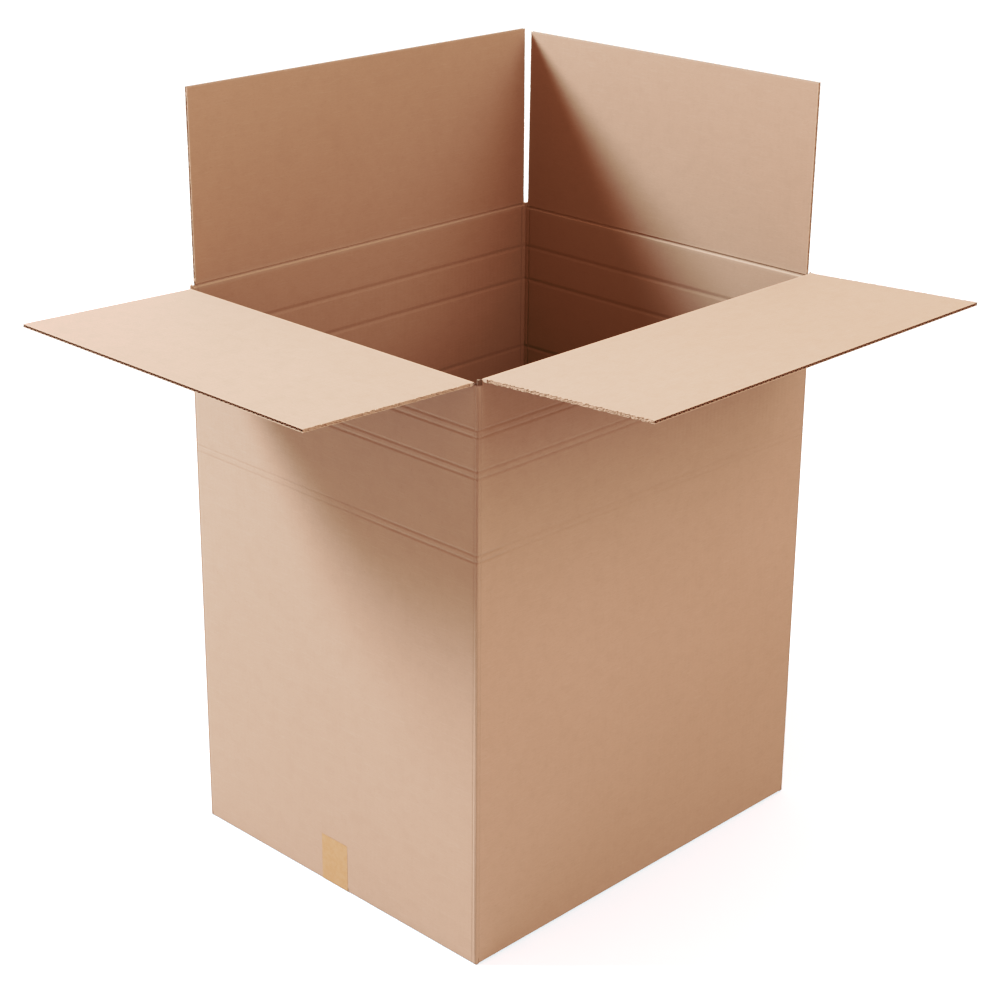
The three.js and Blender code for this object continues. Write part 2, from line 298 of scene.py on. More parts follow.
@dataclass(frozen=True)
class Board:
    """Single wall board with C flutes."""

    thickness: float = 4.0 * MM
    outside: float = 1.5 * MM
    liner: float = 0.55 * MM
    medium: float = 0.36 * MM
    pitch: float = 7.6 * MM


@dataclass(frozen=True)
class BoxSizes:
    """Outer sizes and levels of the box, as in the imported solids."""

    length: float = 608.0 * MM
    width: float = 510.0 * MM
    end_crease: float = 745.0 * MM
    side_crease: float = 749.3 * MM
    reach: float = 250.0 * MM
    slot_inset: float = 5.4 * MM
    slot_trim: float = 2.4 * MM
    score_drops: tuple[float, ...] = (58.0 * MM, 107.0 * MM, 209.0 * MM)
    score_gap: float = 8.5 * MM


@dataclass(frozen=True)
class KraftFinish:
    """Uncoated brown kraft liner with long fibres, and the rawer board inside it."""

    liner: Colour = (0.230, 0.144, 0.106)
    liner_warm: Colour = (0.220, 0.136, 0.099)
    fleck: Colour = (0.100, 0.059, 0.039)
    # Pale fibre of the liner, also the colour of the painted highlights at the creases and the
    # inner rim.
    pale_fibre_and_highlight: Colour = (0.275, 0.194, 0.150)
    core: Colour = (0.200, 0.126, 0.092)
    # Dark colour of the painted shade at the near corner's notch between the flaps.
    painted_notch_shade: Colour = (0.060, 0.036, 0.024)
    roughness: float = 0.86
    specular: float = 0.25
    nap: float = 0.05 * MM

    def finish(self, graph: Graph, colour: object, normal: object) -> bpy.types.Material:
        """Closes a kraft material with the paper's dull surface."""
        return graph.finish(colour, self.roughness, normal, self.specular)

    def surface(self, graph: Graph, place: object) -> tuple[bpy.types.NodeSocket, Wire]:
        """Colour and relief of kraft liner.

        Args:
            graph: Material that is being made.
            place: Output with the place on the board in metres: along the fibres, across and
                in depth.

        Returns:
            The colour, and the relief from 0 to 1.
        """
        along, across, depth = graph.split(place)
        fibres = graph.noise(graph.join(along * 0.16, across, depth), 1500.0, 4.0, 0.6)
        threads = graph.noise(graph.join(along * 0.07, across, depth), 620.0, 3.0, 0.6)
        clouds = graph.noise(place, 7.0, 3.0, 0.5)
        blotches = graph.noise(place, 55.0, 4.0, 0.6)
        flecks = graph.noise(graph.join(along * 0.5, across, depth), 820.0, 1.0, 0.5)
        colour = graph.mix(clouds.ramp(0.3, 0.7) * 0.3, self.liner, self.liner_warm)
        colour = graph.mix(blotches.ramp(0.42, 0.72) * 0.05, colour, self.fleck)
        colour = graph.mix(threads.ramp(0.5, 0.76) * 0.16, colour, self.pale_fibre_and_highlight)
        colour = graph.mix(fibres.ramp(0.52, 0.26) * 0.14, colour, self.fleck)
        colour = graph.mix(flecks.ramp(0.72, 0.84) * 0.4, colour, self.fleck)
        return colour, fibres * 0.6 + threads * 0.4


@dataclass(frozen=True)
class TapeFinish:
    """Tan packing tape: a thin film over adhesive, on kraft."""

    film: Colour = (0.231, 0.121, 0.058)
    wet: Colour = (0.222, 0.113, 0.054)
    roughness: float = 0.46

    def material(self) -> bpy.types.Material:
        """Makes the tape's material."""
        graph = Graph("packing_tape_film")
        place = graph.node("ShaderNodeTexCoord").outputs["Object"]
        grip = graph.noise(place, 160.0, 4.0, 0.6)
        stretched = graph.node(
            "ShaderNodeMapping", None, {"Vector": place, "Scale": (1.0, 12.0, 1.0)})
        streaks = graph.noise(stretched.outputs[0], 60.0, 3.0, 0.6)
        colour = graph.mix(grip.ramp(0.4, 0.62) * 0.35, self.film, self.wet)
        colour = graph.mix(streaks.ramp(0.5, 0.8) * 0.2, colour, self.wet)
        rough = grip.ramp(0.35, 0.65) * 0.14 + self.roughness
        normal = graph.bump(grip * 0.6 + streaks * 0.4, 0.06 * MM)
        return graph.finish(colour, rough, normal, 0.35)


@dataclass
class Panel:
    """A sheet of board that stands on its crease before it is turned to its pose."""

    wall: Wall
    outwards: float
    height: float
    angle: float

    def matrix(self) -> Matrix:
        """From the panel's own frame (along the crease, inwards, up the panel) to the box's."""
        turn = Matrix.Rotation(math.radians(90 * self.wall.value), 4, "Z")
        shift = Matrix.Translation((0.0, -self.outwards, self.height))
        return turn @ shift @ Matrix.Rotation(math.radians(self.angle), 4, "X")

    def coordinates(self, graph: Graph) -> tuple[Wire, Wire, Wire]:
        """The panel's own coordinates in a material.

        Args:
            graph: Material that is being made.

        Returns:
            Metres along the crease, inwards through the board, and up the panel.
        """
        place = graph.node("ShaderNodeTexCoord").outputs["Object"]
        matrix = self.matrix()
        spot, turn = tuple(matrix.translation), tuple(matrix.to_euler("XYZ"))
        node = graph.node(
            "ShaderNodeMapping",
            {"vector_type": "TEXTURE"},
            {"Vector": place, "Location": spot, "Rotation": turn},
        )
        return graph.split(node.outputs[0])


class Bench:
    """Modelling moves that the pieces share."""

    @staticmethod
    def clear() -> None:
        """Leaves edit mode and deselects every object."""
        if bpy.context.object and bpy.context.object.mode != "OBJECT":
            bpy.ops.object.mode_set(mode="OBJECT")
        bpy.ops.object.select_all(action="DESELECT")

    @staticmethod
    def take(piece: bpy.types.Object) -> None:
        """Makes a piece the only selected object, and the active one."""
        Bench.clear()
        piece.select_set(True)
        bpy.context.view_layer.objects.active = piece

    @staticmethod
    def pick(piece: bpy.types.Object, test: Test, mode: str = "VERT") -> None:
        """Selects parts of a piece by place, and leaves it in edit mode.

        Args:
            piece: The mesh.
            test: Says of a vertex or of an edge's middle whether it is taken.
            mode: VERT or EDGE.
        """
        if bpy.context.object is not piece or piece.mode != "EDIT":
            Bench.take(piece)
            bpy.ops.object.mode_set(mode="EDIT")
        bpy.ops.mesh.select_mode(type=mode)
        bpy.ops.mesh.select_all(action="DESELECT")
        mesh = bmesh.from_edit_mesh(piece.data)
        if mode == "VERT":
            for vertex in mesh.verts:
                if test(vertex.co):
                    vertex.select = True
        else:
            for edge in mesh.edges:
                if test((edge.verts[0].co + edge.verts[1].co) / 2):
                    edge.select = True
        mesh.select_flush_mode()
        bmesh.update_edit_mesh(piece.data)

    @staticmethod
    def shift(piece: bpy.types.Object, test: Test, way: tuple[float, float, float]) -> None:
        """Moves chosen vertices this far along each axis."""
        Bench.pick(piece, test)
        bpy.ops.transform.translate(value=way)

    @staticmethod
    def bevel(piece: bpy.types.Object, test: Test, offset: float, segments: int) -> None:
        """Rounds chosen edges.

        Args:
            piece: The mesh.
            test: Says of an edge's middle whether it is taken.
            offset: Width of the bevel.
            segments: Steps of the round.
        """
        Bench.pick(piece, test, "EDGE")
        bpy.ops.mesh.bevel(offset=offset, segments=segments)

    @staticmethod
    def flatten(piece: bpy.types.Object, test: Test, y: float) -> None:
        """Scales chosen vertices flat onto one depth, a place on Y."""
        Bench.pick(piece, test)
        bpy.ops.transform.resize(value=(1.0, 0.0, 1.0), center_override=(0.0, y, 0.0))

    @staticmethod
    def cut_across(piece: bpy.types.Object, place: float, axis: int) -> None:
        """Adds a row of edges where a plane crosses the mesh.

        Args:
            piece: The mesh.
            place: Where the plane stands on the axis.
            axis: 0 for X, 2 for Z.
        """
        Bench.pick(piece, lambda v: True)
        at, way = [0.0, 0.0, 0.0], [0.0, 0.0, 0.0]
        at[axis], way[axis] = place, 1.0
        bpy.ops.mesh.bisect(plane_co=at, plane_no=way)

    @staticmethod
    def sheet(
        name: str, size: tuple[float, float], cells: tuple[int, int], centre: Sequence[float]
    ) -> bpy.types.Object:
        """Adds a flat grid in the XZ plane.

        Args:
            name: Piece's name.
            size: Length along X and along Z.
            cells: Cells along each.
            centre: Middle of the grid.

        Returns:
            The grid, with its place in its mesh.
        """
        Bench.clear()
        bpy.ops.mesh.primitive_grid_add(x_subdivisions=cells[0], y_subdivisions=cells[1], size=1.0)
        turn = (math.pi / 2, 0.0, 0.0)
        return Bench.place_new(name, (size[0], size[1], 1.0), centre, turn)

    @staticmethod
    def slab(name: str, low: Sequence[float], high: Sequence[float]) -> bpy.types.Object:
        """Adds a block between two corners.

        Args:
            name: Piece's name.
            low: Lowest corner.
            high: Highest corner.

        Returns:
            The block, with its place in its mesh.
        """
        Bench.clear()
        bpy.ops.mesh.primitive_cube_add(size=1.0)
        size = [b - a for a, b in zip(low, high)]
        return Bench.place_new(name, size, [(a + b) / 2 for a, b in zip(low, high)])

    @staticmethod
    def place_new(
        name: str,
        size: Sequence[float],
        centre: Sequence[float],
        turn: Sequence[float] = (0.0, 0.0, 0.0),
    ) -> bpy.types.Object:
        """Names, sizes and places the primitive that was just added.

        Args:
            name: Piece's name.
            size: Its size along its own axes.
            centre: Its middle.
            turn: Its turn about X, Y and Z.

        Returns:
            The piece, with its place in its mesh.
        """
        piece = bpy.context.object
        piece.name = name
        piece.data.name = name
        piece.scale = size
        piece.rotation_euler = turn
        piece.location = centre
        Bench.settle(piece)
        return piece

    @staticmethod
    def settle(piece: bpy.types.Object) -> None:
        """Moves a piece's place, turn and scale into its mesh."""
        Bench.take(piece)
        bpy.ops.object.transform_apply(location=True, rotation=True, scale=True)

    @staticmethod
    def modify(piece: bpy.types.Object, kind: str, **settings: object) -> None:
        """Adds a modifier and applies it.

        Args:
            piece: The mesh.
            kind: Blender's name of the modifier's type.
            settings: Its settings.
        """
        Bench.take(piece)
        modifier = piece.modifiers.new(kind.lower(), kind)
        for key, value in settings.items():
            setattr(modifier, key, value)
        bpy.ops.object.modifier_apply(modifier=modifier.name)

    @staticmethod
    def fray(
        piece: bpy.types.Object,
        test: Test,
        way: str,
        depth: float,
        grain: float,
        seed: float,
    ) -> None:
        """Pushes chosen vertices along an axis by a cloudy amount.

        Args:
            piece: The mesh.
            test: Says which vertices move.
            way: X, Y or Z.
            depth: Furthest push, with its sign.
            grain: Size of the clouds.
            seed: Picks another part of the clouds.
        """
        group = piece.vertex_groups.new(name="frayed")
        piece.vertex_groups.active_index = group.index
        Bench.pick(piece, test)
        bpy.ops.object.vertex_group_assign()
        Bench.clear()
        clouds = bpy.data.textures.new("paper_tear", "CLOUDS")
        clouds.noise_scale = grain
        clouds.noise_depth = 2
        clouds.contrast = 2.2
        anchor = bpy.data.objects.new("tear_anchor", None)
        bpy.context.scene.collection.objects.link(anchor)
        anchor.location = (seed * 0.137, seed * 0.071, 0.0)
        bpy.context.view_layer.update()
        Bench.modify(
            piece, "DISPLACE", texture=clouds, texture_coords="OBJECT",
            texture_coords_object=anchor, direction=way, strength=depth, mid_level=0.0,
            vertex_group="frayed",
        )
        bpy.data.objects.remove(anchor)
        piece.vertex_groups.remove(piece.vertex_groups["frayed"])

    @staticmethod
    def unite(name: str, pieces: Iterable[bpy.types.Object]) -> bpy.types.Object:
        """Joins meshes into one piece.

        Args:
            name: The piece's name.
            pieces: The meshes, each with its own materials.

        Returns:
            The piece.
        """
        Bench.clear()
        parts = list(pieces)
        for part in parts:
            part.select_set(True)
        bpy.context.view_layer.objects.active = parts[0]
        bpy.ops.object.join()
        parts[0].name = name
        parts[0].data.name = name
        return parts[0]


@dataclass
class TopFlap:
    """A top flap: two liners with fluted medium between them, pinched at the crease."""

    node: str
    body: str
    panel: Panel
    half_width: float
    reach: float
    seed: int
    board: Board = field(default_factory=Board)
    kraft: KraftFinish = field(default_factory=KraftFinish)
    pinch: float = 5.9 * MM
    inner_pinch: float = 2.7 * MM
    fluted_from: float = 9.0 * MM
    lip: float = 1.1 * MM
    columns_per_wave: int = 8
    crushed_side: float = 1.3 * MM
    tear: float = 1.0 * MM
    fray_step: float = 1.3 * MM
    fray_band: float = 2.4 * MM
    bent_in: float = 0.6 * MM
    sunk: float = 0.02 * MM
    hollow: float = 0.72 * MM
    hollow_drop: float = 0.26 * MM
    outer_lip: float = 0.19 * MM
    outer_slope: float = math.tan(math.radians(15))
    wear: float = 2.4 * MM
    wear_grain: float = 240.0
    eased: float = 0.65
    wave_depth: float = 0.035 * MM

    def build(self) -> bpy.types.Object:
        """Makes the flap, dresses it and hangs it on its body.

        Returns:
            The finished piece.
        """
        liner = self.liner_material()
        core = self.core_material()
        parts = [self.outer_liner(), self.inner_liner(), self.hinge_strip()]
        for part in parts:
            part.data.materials.append(liner)
        fluting = [self.medium_sheet(), *self.side_crush()]
        for part in fluting:
            part.data.materials.append(core)
        piece = Bench.unite(f"{self.node}_board", [*parts, *fluting])
        piece.matrix_world = self.panel.matrix()
        Bench.settle(piece)
        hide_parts(self.node)
        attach(piece, self.body)
        LOG.info("%s: %d faces", piece.name, len(piece.data.polygons))
        return piece

    def outer_liner(self) -> bpy.types.Object:
        """The sheet of paper on the box's outside."""
        y = -self.board.outside + self.board.liner / 2
        return self.paper("outer_liner", y, self.pinch, 1.0)

    def inner_liner(self) -> bpy.types.Object:
        """The sheet of paper on the box's inside."""
        y = self.board.thickness - self.board.outside - self.board.liner / 2
        return self.paper("inner_liner", y, self.inner_pinch, -1.0)

    def paper(self, name: str, y: float, low: float, inwards: float) -> bpy.types.Object:
        """One liner, with both cut sides frayed.

        Args:
            name: What the sheet is called.
            y: Middle of its thickness.
            low: Where it starts above the crease.
            inwards: Sign of Y towards the middle of the board.

        Returns:
            The sheet.
        """
        tall = self.reach - low
        piece = Bench.sheet(
            f"{self.node}_{name}",
            (2 * self.half_width, tall),
            (1, int(tall / self.fray_step)),
            (0.0, y, (self.reach + low) / 2),
        )
        for side in (-1.0, 1.0):
            Bench.cut_across(piece, side * (self.half_width - self.fray_band), 0)
        for side in (-1.0, 1.0):
            self.fray_side(piece, side, inwards)
        Bench.modify(piece, "SOLIDIFY", thickness=self.board.liner, offset=0.0)
        return piece

    def fray_side(self, piece: bpy.types.Object, side: float, inwards: float) -> None:
        """Tears a liner's cut side a little and bends it towards the middle of the board.

        Args:
            piece: The liner, still without its thickness.
            side: Which side, by its sign along X.
            inwards: Sign of Y towards the middle of the board.
        """
        rim, end = self.half_width - 0.1 * MM, self.reach - 1.0 * MM

        def cut(v: Vector) -> bool:
            """True on the rim, clear of the free edge."""
            return v.x * side > rim and v.z < end

        Bench.fray(piece, cut, "X", -side * self.tear, 2.6 * MM, self.seed + side)
        Bench.fray(piece, cut, "Y", inwards * self.bent_in, 5.0 * MM, self.seed + 2 * side)

    def hinge_strip(self) -> bpy.types.Object:
        """The pinched strip beside the crease, hollow where it runs round the crease's bead."""
        inner = self.board.thickness - self.board.outside
        outer = self.board.outside
        piece = Bench.slab(
            f"{self.node}_hinge_strip",
            (-self.half_width, -outer + self.sunk, self.lip),
            (self.half_width, inner - self.sunk, self.fluted_from),
        )
        low = self.lip + 0.01 * MM
        dip = (0.0, self.hollow - inner, -self.hollow_drop)
        Bench.shift(piece, lambda v: v.z < low and v.y > 0, dip)
        rise = (0.0, outer - self.outer_lip, 0.0)
        Bench.shift(piece, lambda v: v.z < low and v.y < -outer / 2, rise)
        self.shoulder(piece, inner - self.sunk, self.sunk - outer)
        return piece

    def shoulder(self, piece: bpy.types.Object, inner: float, outer: float) -> None:
        """Cuts the strip across at each bevel's end and lets the bevels reach the faces.

        Args:
            piece: The strip.
            inner: Depth of its inner face.
            outer: Depth of its outer face.
        """
        low, high = self.inner_pinch, self.pinch
        bevel = -(low - 0.4 * MM) * self.outer_slope
        near = 0.001 * MM
        Bench.cut_across(piece, low, 2)
        Bench.flatten(piece, lambda v: abs(v.z - low) < near and v.y > 0, inner)
        Bench.flatten(piece, lambda v: abs(v.z - low) < near and v.y < 0, bevel)
        Bench.cut_across(piece, high, 2)
        Bench.flatten(piece, lambda v: abs(v.z - high) < near and v.y < 0, outer)
        Bench.clear()

    def medium_sheet(self) -> bpy.types.Object:
        """The fluted paper, one wave to a flute, open at the free edge."""
        waves = int((2 * self.half_width - 2 * self.crushed_side) / self.board.pitch)
        long = waves * self.board.pitch
        columns = waves * self.columns_per_wave
        inner = self.board.thickness - self.board.outside
        middle = (inner - self.board.outside) / 2
        rise = (self.board.thickness - 2 * self.board.liner - self.board.medium) / 2
        top = self.reach - 0.35 * MM
        piece = Bench.sheet(
            f"{self.node}_medium",
            (long, top - self.fluted_from),
            (columns, 1),
            (0.0, middle, (top + self.fluted_from) / 2),
        )
        step = long / columns
        for phase in range(self.columns_per_wave):
            Bench.shift(
                piece,
                lambda v: round((v.x + long / 2) / step) % self.columns_per_wave == phase,
                (0.0, rise * self.wave(phase / self.columns_per_wave), 0.0),
            )
        Bench.clear()
        Bench.modify(piece, "SOLIDIFY", thickness=self.board.medium, offset=0.0)
        return piece

    @staticmethod
    def wave(share: float) -> float:
        """Flute's profile from -1 to 1, flatter at its crests than a sine."""
        turn = math.cos(2 * math.pi * share)
        return math.copysign(abs(turn) ** 0.8, turn)

    def side_crush(self) -> list[bpy.types.Object]:
        """The medium crushed shut along both cut sides, torn open here and there."""
        gap = self.board.thickness - 2 * self.board.liner
        middle = self.board.thickness / 2 - self.board.outside
        low, high = self.fluted_from, self.reach - 0.4 * MM
        pieces = []
        for side in (-1.0, 1.0):
            piece = Bench.sheet(
                f"{self.node}_crushed_side",
                (gap, high - low),
                (3, int((high - low) / (1.6 * MM))),
                (0.0, 0.0, (low + high) / 2),
            )
            piece.rotation_euler = (0.0, 0.0, math.pi / 2)
            piece.location = (side * (self.half_width - 0.3 * MM), middle, 0.0)
            Bench.settle(piece)
            Bench.fray(
                piece, lambda v: True, "X", -side * self.crushed_side, 1.1 * MM, self.seed + side)
            pieces.append(piece)
        return pieces

    def liner_material(self) -> bpy.types.Material:
        """Kraft liner in the flap's own coordinates.

        Returns:
            The material.
        """
        graph = Graph(f"{self.node}_kraft")
        along, inwards, up = self.panel.coordinates(graph)
        depth = inwards + self.seed * 0.37
        place = graph.join(along, up, depth)
        colour, relief = self.kraft.surface(graph, place)
        edge = (self.half_width - abs(along)).at_most(self.reach - up)
        wander = graph.noise(place, self.wear_grain, 2.0)
        # Here the mask is real edge wear: paler fibre along the flap's cut edges.
        wear_and_painted_shade = (edge - wander * self.wear).ramp(1.0 * MM, -0.6 * MM)
        crease = up.ramp(self.fluted_from, 2.0 * MM)
        # The crease band is partly paler crushed fibre and partly painted light against the
        # crease's shade.
        for share in (wear_and_painted_shade * 0.35, crease * 0.2):
            colour = graph.mix(share, colour, self.kraft.pale_fibre_and_highlight)
        # Painted light: the pinched strip at the crease is made up to 1.2 times as bright.
        colour = graph.shade(colour, up.ramp(3.8 * MM, 2.6 * MM) * 0.2 + 1.0)
        washboard = graph.washboard(along, self.board.pitch)
        normal = self.eased_normal(graph, crease * self.eased)
        normal = graph.bump(washboard, self.wave_depth, normal)
        return self.kraft.finish(graph, colour, graph.bump(relief, self.kraft.nap, normal))

    def eased_normal(self, graph: Graph, share: Wire) -> bpy.types.NodeSocket:
        """Turns the normal towards the board's face, so that pinched board looks soft.

        Args:
            graph: Material that is being made.
            share: How far it turns, from 0 to 1.

        Returns:
            The normal in the world.
        """
        face = self.panel.matrix().to_3x3() @ Vector((0.0, 1.0, 0.0))
        parts = graph.split(graph.node("ShaderNodeTexCoord").outputs["Normal"])
        across = parts[0] * face.x + parts[1] * face.y + parts[2] * face.z
        push = graph.math("SIGN", across) * share
        bent = [part * (1 - share) + push * axis for part, axis in zip(parts, face)]
        turned = graph.node(
            "ShaderNodeVectorTransform",
            {"vector_type": "NORMAL", "convert_from": "OBJECT", "convert_to": "WORLD"},
            {0: graph.join(*bent)},
        )
        return turned.outputs[0]

    def core_material(self) -> bpy.types.Material:
        """Rawer paper of the fluted medium and of the cut sides.

        Returns:
            The material.
        """
        graph = Graph(f"{self.node}_core")
        along, inwards, up = self.panel.coordinates(graph)
        grain = graph.noise(graph.join(along, up, inwards), 900.0, 3.0)
        colour = graph.mix(grain.ramp(0.35, 0.65), self.kraft.core, self.kraft.liner_warm)
        return graph.finish(colour, 0.9, graph.bump(grain, 0.08 * MM), 0.2)


@dataclass(frozen=True)
class Spot:
    """Where a point of the box's surface is: its place in metres and the mask of the inside."""

    x: Wire
    y: Wire
    z: Wire
    inside: Wire


@dataclass
class FoldedBody:
    """Walls, bottom flaps and glue tab, one folded blank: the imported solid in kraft."""

    node: str = "box_body"
    body: str = "box"
    sizes: BoxSizes = field(default_factory=BoxSizes)
    board: Board = field(default_factory=Board)
    kraft: KraftFinish = field(default_factory=KraftFinish)
    wave_depth: float = 0.03 * MM
    dent_depth: float = 0.6 * MM
    dent_shade: float = 0.035
    outer_score: float = 3.0 * MM
    inner_score: float = 5.0 * MM
    faint: float = 0.4
    fade: tuple[float, float] = (230.0 * MM, 130.0 * MM)
    faded: float = 0.12
    fold_line: float = 10.5 * MM
    post_line: float = 5.4 * MM
    rim_highlight_band: float = 8.0 * MM

    def dress(self, frame: dict[str, dict]) -> None:
        """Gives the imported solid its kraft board.
        """
        piece = frame["nodes"][self.node]
        kraft = self.material()
        piece.data.materials.clear()
        piece.data.materials.append(kraft)
        left, right = ("left", -1.0), ("right", 1.0)
        for strip in (self.joint_edge(), self.bottom_end(*left), self.bottom_end(*right)):
            strip.data.materials.append(kraft)
            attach(strip, self.body)
        LOG.info("%s: kraft board", self.node)

    def joint_edge(self) -> bpy.types.Object:
        """The long wall's liner pressed down over the glued joint's gap.

        Returns:
            The strip.
        """
        x, y = -self.sizes.length / 2, -self.sizes.width / 2
        near, far, pressed = y + 2.6 * MM, y + 6.6 * MM, 0.33 * MM
        strip = Bench.slab(
            "joint_liner",
            (x + 0.35 * MM, near, 2.0 * MM),
            (x + 1.5 * MM, far, self.sizes.end_crease),
        )
        face, middle = x + 0.5 * MM, (near + far) / 2
        Bench.shift(strip, lambda v: v.y > middle and v.x < face, (-pressed, 0.0, 0.0))
        Bench.bevel(strip, lambda v: v.x < face, 0.25 * MM, 2)
        Bench.clear()
        return strip

    def bottom_end(self, name: str, side: float) -> bpy.types.Object:
        """Ends of the outer bottom flaps, swollen against the short wall's fold.

        Args:
            name: Which end of the box.
            side: Its sign along X.

        Returns:
            The strip.
        """
        swell, soft = 2.2 * MM, 0.4 * MM
        far = self.sizes.length / 2 - 0.45 * MM
        near = far - 6.0 * MM
        half = self.sizes.width / 2 - 0.6 * MM
        top = 6.4 * MM
        low_x, high_x = sorted((side * near, side * far))
        strip = Bench.slab(
            f"{name}_bottom_end", (low_x, -half, 0.26 * MM), (high_x, half, top))
        corner = 0.4 * MM
        face = far - corner
        Bench.bevel(
            strip,
            lambda v: v.x * side > face and (v.z < corner or abs(v.y) > half - corner),
            swell,
            4,
        )
        Bench.bevel(strip, lambda v: v.x * side > face and v.z > top - 0.1 * MM, soft, 2)
        Bench.clear()
        return strip

    def material(self) -> bpy.types.Material:
        """Kraft on walls and bottom, with pressed score lines, painted shade in them and at the
        near corner's top, and a painted highlight inside the rim.

        Returns:
            The material.
        """
        graph = Graph("body_kraft")
        texture = graph.node("ShaderNodeTexCoord")
        x, y, z = graph.split(texture.outputs["Object"])
        face_x, face_y, face_z = graph.split(texture.outputs["Normal"])
        on_end = abs(face_x).above(0.7)
        flat = abs(face_z).above(0.8)
        along = x * (1 - on_end) + y * on_end
        up = z * (1 - flat) + y * flat
        depth = y * (1 - on_end) + x * on_end
        colour, relief = self.kraft.surface(graph, graph.join(along, up, depth * (1 - flat)))
        inside = self.inside_mask(x, y)
        spot = Spot(x, y, z, inside)
        dents = self.score_dents(spot)
        posts = self.corner_dents(spot)
        # Painted shade: a dark patch on the top of the post at the near corner, where the notch
        # between the flaps lies in shade.
        near_corner = (x + self.sizes.length / 2).at_least(y + self.sizes.width / 2)
        tip = z.ramp(self.sizes.end_crease - 2.5 * MM, self.sizes.end_crease)
        wear_and_painted_shade = near_corner.ramp(7.0 * MM, 6.0 * MM) * tip
        colour = graph.mix(wear_and_painted_shade * 0.9, colour, self.kraft.painted_notch_shade)
        # Painted highlight: a paler band on the walls' inside just below the top crease, where the
        # light falls.
        crease = self.sizes.side_crease
        top = z + on_end * (crease - self.sizes.end_crease)
        painted_rim_highlight = top.ramp(crease - self.rim_highlight_band, crease - 2.0 * MM)
        colour = graph.mix(painted_rim_highlight * inside * 0.35, colour, self.kraft.pale_fibre_and_highlight)
        # Painted shade: darker in the score lines and in the lines beside the folded corners.
        colour = graph.shade(colour, 1 - dents * self.dent_shade - posts * (2 * self.dent_shade))
        washboard = graph.washboard(along, self.board.pitch)
        smooth = graph.join(self.squared(face_x), self.squared(face_y), self.squared(face_z))
        normal = graph.bump(1 - dents.at_least(posts), self.dent_depth, smooth)
        normal = graph.bump(washboard, self.wave_depth, normal)
        return self.kraft.finish(graph, colour, graph.bump(relief, self.kraft.nap, normal))

    def inside_mask(self, x: Wire, y: Wire) -> Wire:
        """Mask of the walls' inner half by the place along and across: one inside."""
        near = (abs(x) - (self.sizes.length / 2 - self.board.thickness / 2)).at_least(
            abs(y) - (self.sizes.width / 2 - self.board.thickness / 2)
        )
        return 1 - near.above(0.0)

    @staticmethod
    def squared(part: Wire) -> Wire:
        """Takes a part of the normal to -1, 0 or 1, so that pressed lines turn soft."""
        return part.graph.math("SIGN", part) * abs(part).above(0.6)

    def pressed(self, number: int, spot: Spot) -> Wire:
        """How strongly a score shows, in its pressed relief and its painted shade: fainter in
        front, the lowest fades from the near corner.

        Args:
            number: Which score, from the top.
            spot: Where the point is.

        Returns:
            Depth from 0 to 1.
        """
        from_front = spot.y + self.sizes.width / 2
        if number < len(self.sizes.score_drops) - 1:
            return 1 - from_front.ramp(2.0 * MM, 1.0 * MM) * self.faint
        from_corner = from_front + (spot.x + self.sizes.length / 2) * 4.0
        return from_corner.ramp(*self.fade).at_least(self.faded).at_least(spot.inside)

    def score_dents(self, spot: Spot) -> Wire:
        """Pressed lines: a pair on the outside and a wider one on the inside at each score.

        Args:
            spot: Where the point is.

        Returns:
            One in the middle of a line, zero beside it.
        """
        dents: Wire | None = None
        for number, drop in enumerate(self.sizes.score_drops):
            off = abs(spot.z - (self.sizes.end_crease - drop))
            outer = abs(off - self.sizes.score_gap / 2).ramp(self.outer_score, 0.0)
            inner = off.ramp(self.inner_score, 0.0)
            dent = (outer * (1 - spot.inside)).at_least(inner * spot.inside)
            dent = dent * self.pressed(number, spot)
            dents = dent if dents is None else dents.at_least(dent)
        return dents

    def corner_dents(self, spot: Spot) -> Wire:
        """Pressed lines beside each folded corner, where the walls' crease begins.

        Args:
            spot: Where the point is.

        Returns:
            One in the middle of a line, zero beside it.
        """
        from_x = self.sizes.length / 2 - abs(spot.x)
        from_y = self.sizes.width / 2 - abs(spot.y)
        away = from_x.at_least(from_y)
        inner = abs(away - self.fold_line).ramp(2.6 * MM, 0.0) * spot.inside
        outer = abs(away - self.post_line).ramp(1.6 * MM, 0.0) * (1 - spot.inside) * 0.6
        return inner.at_least(outer)


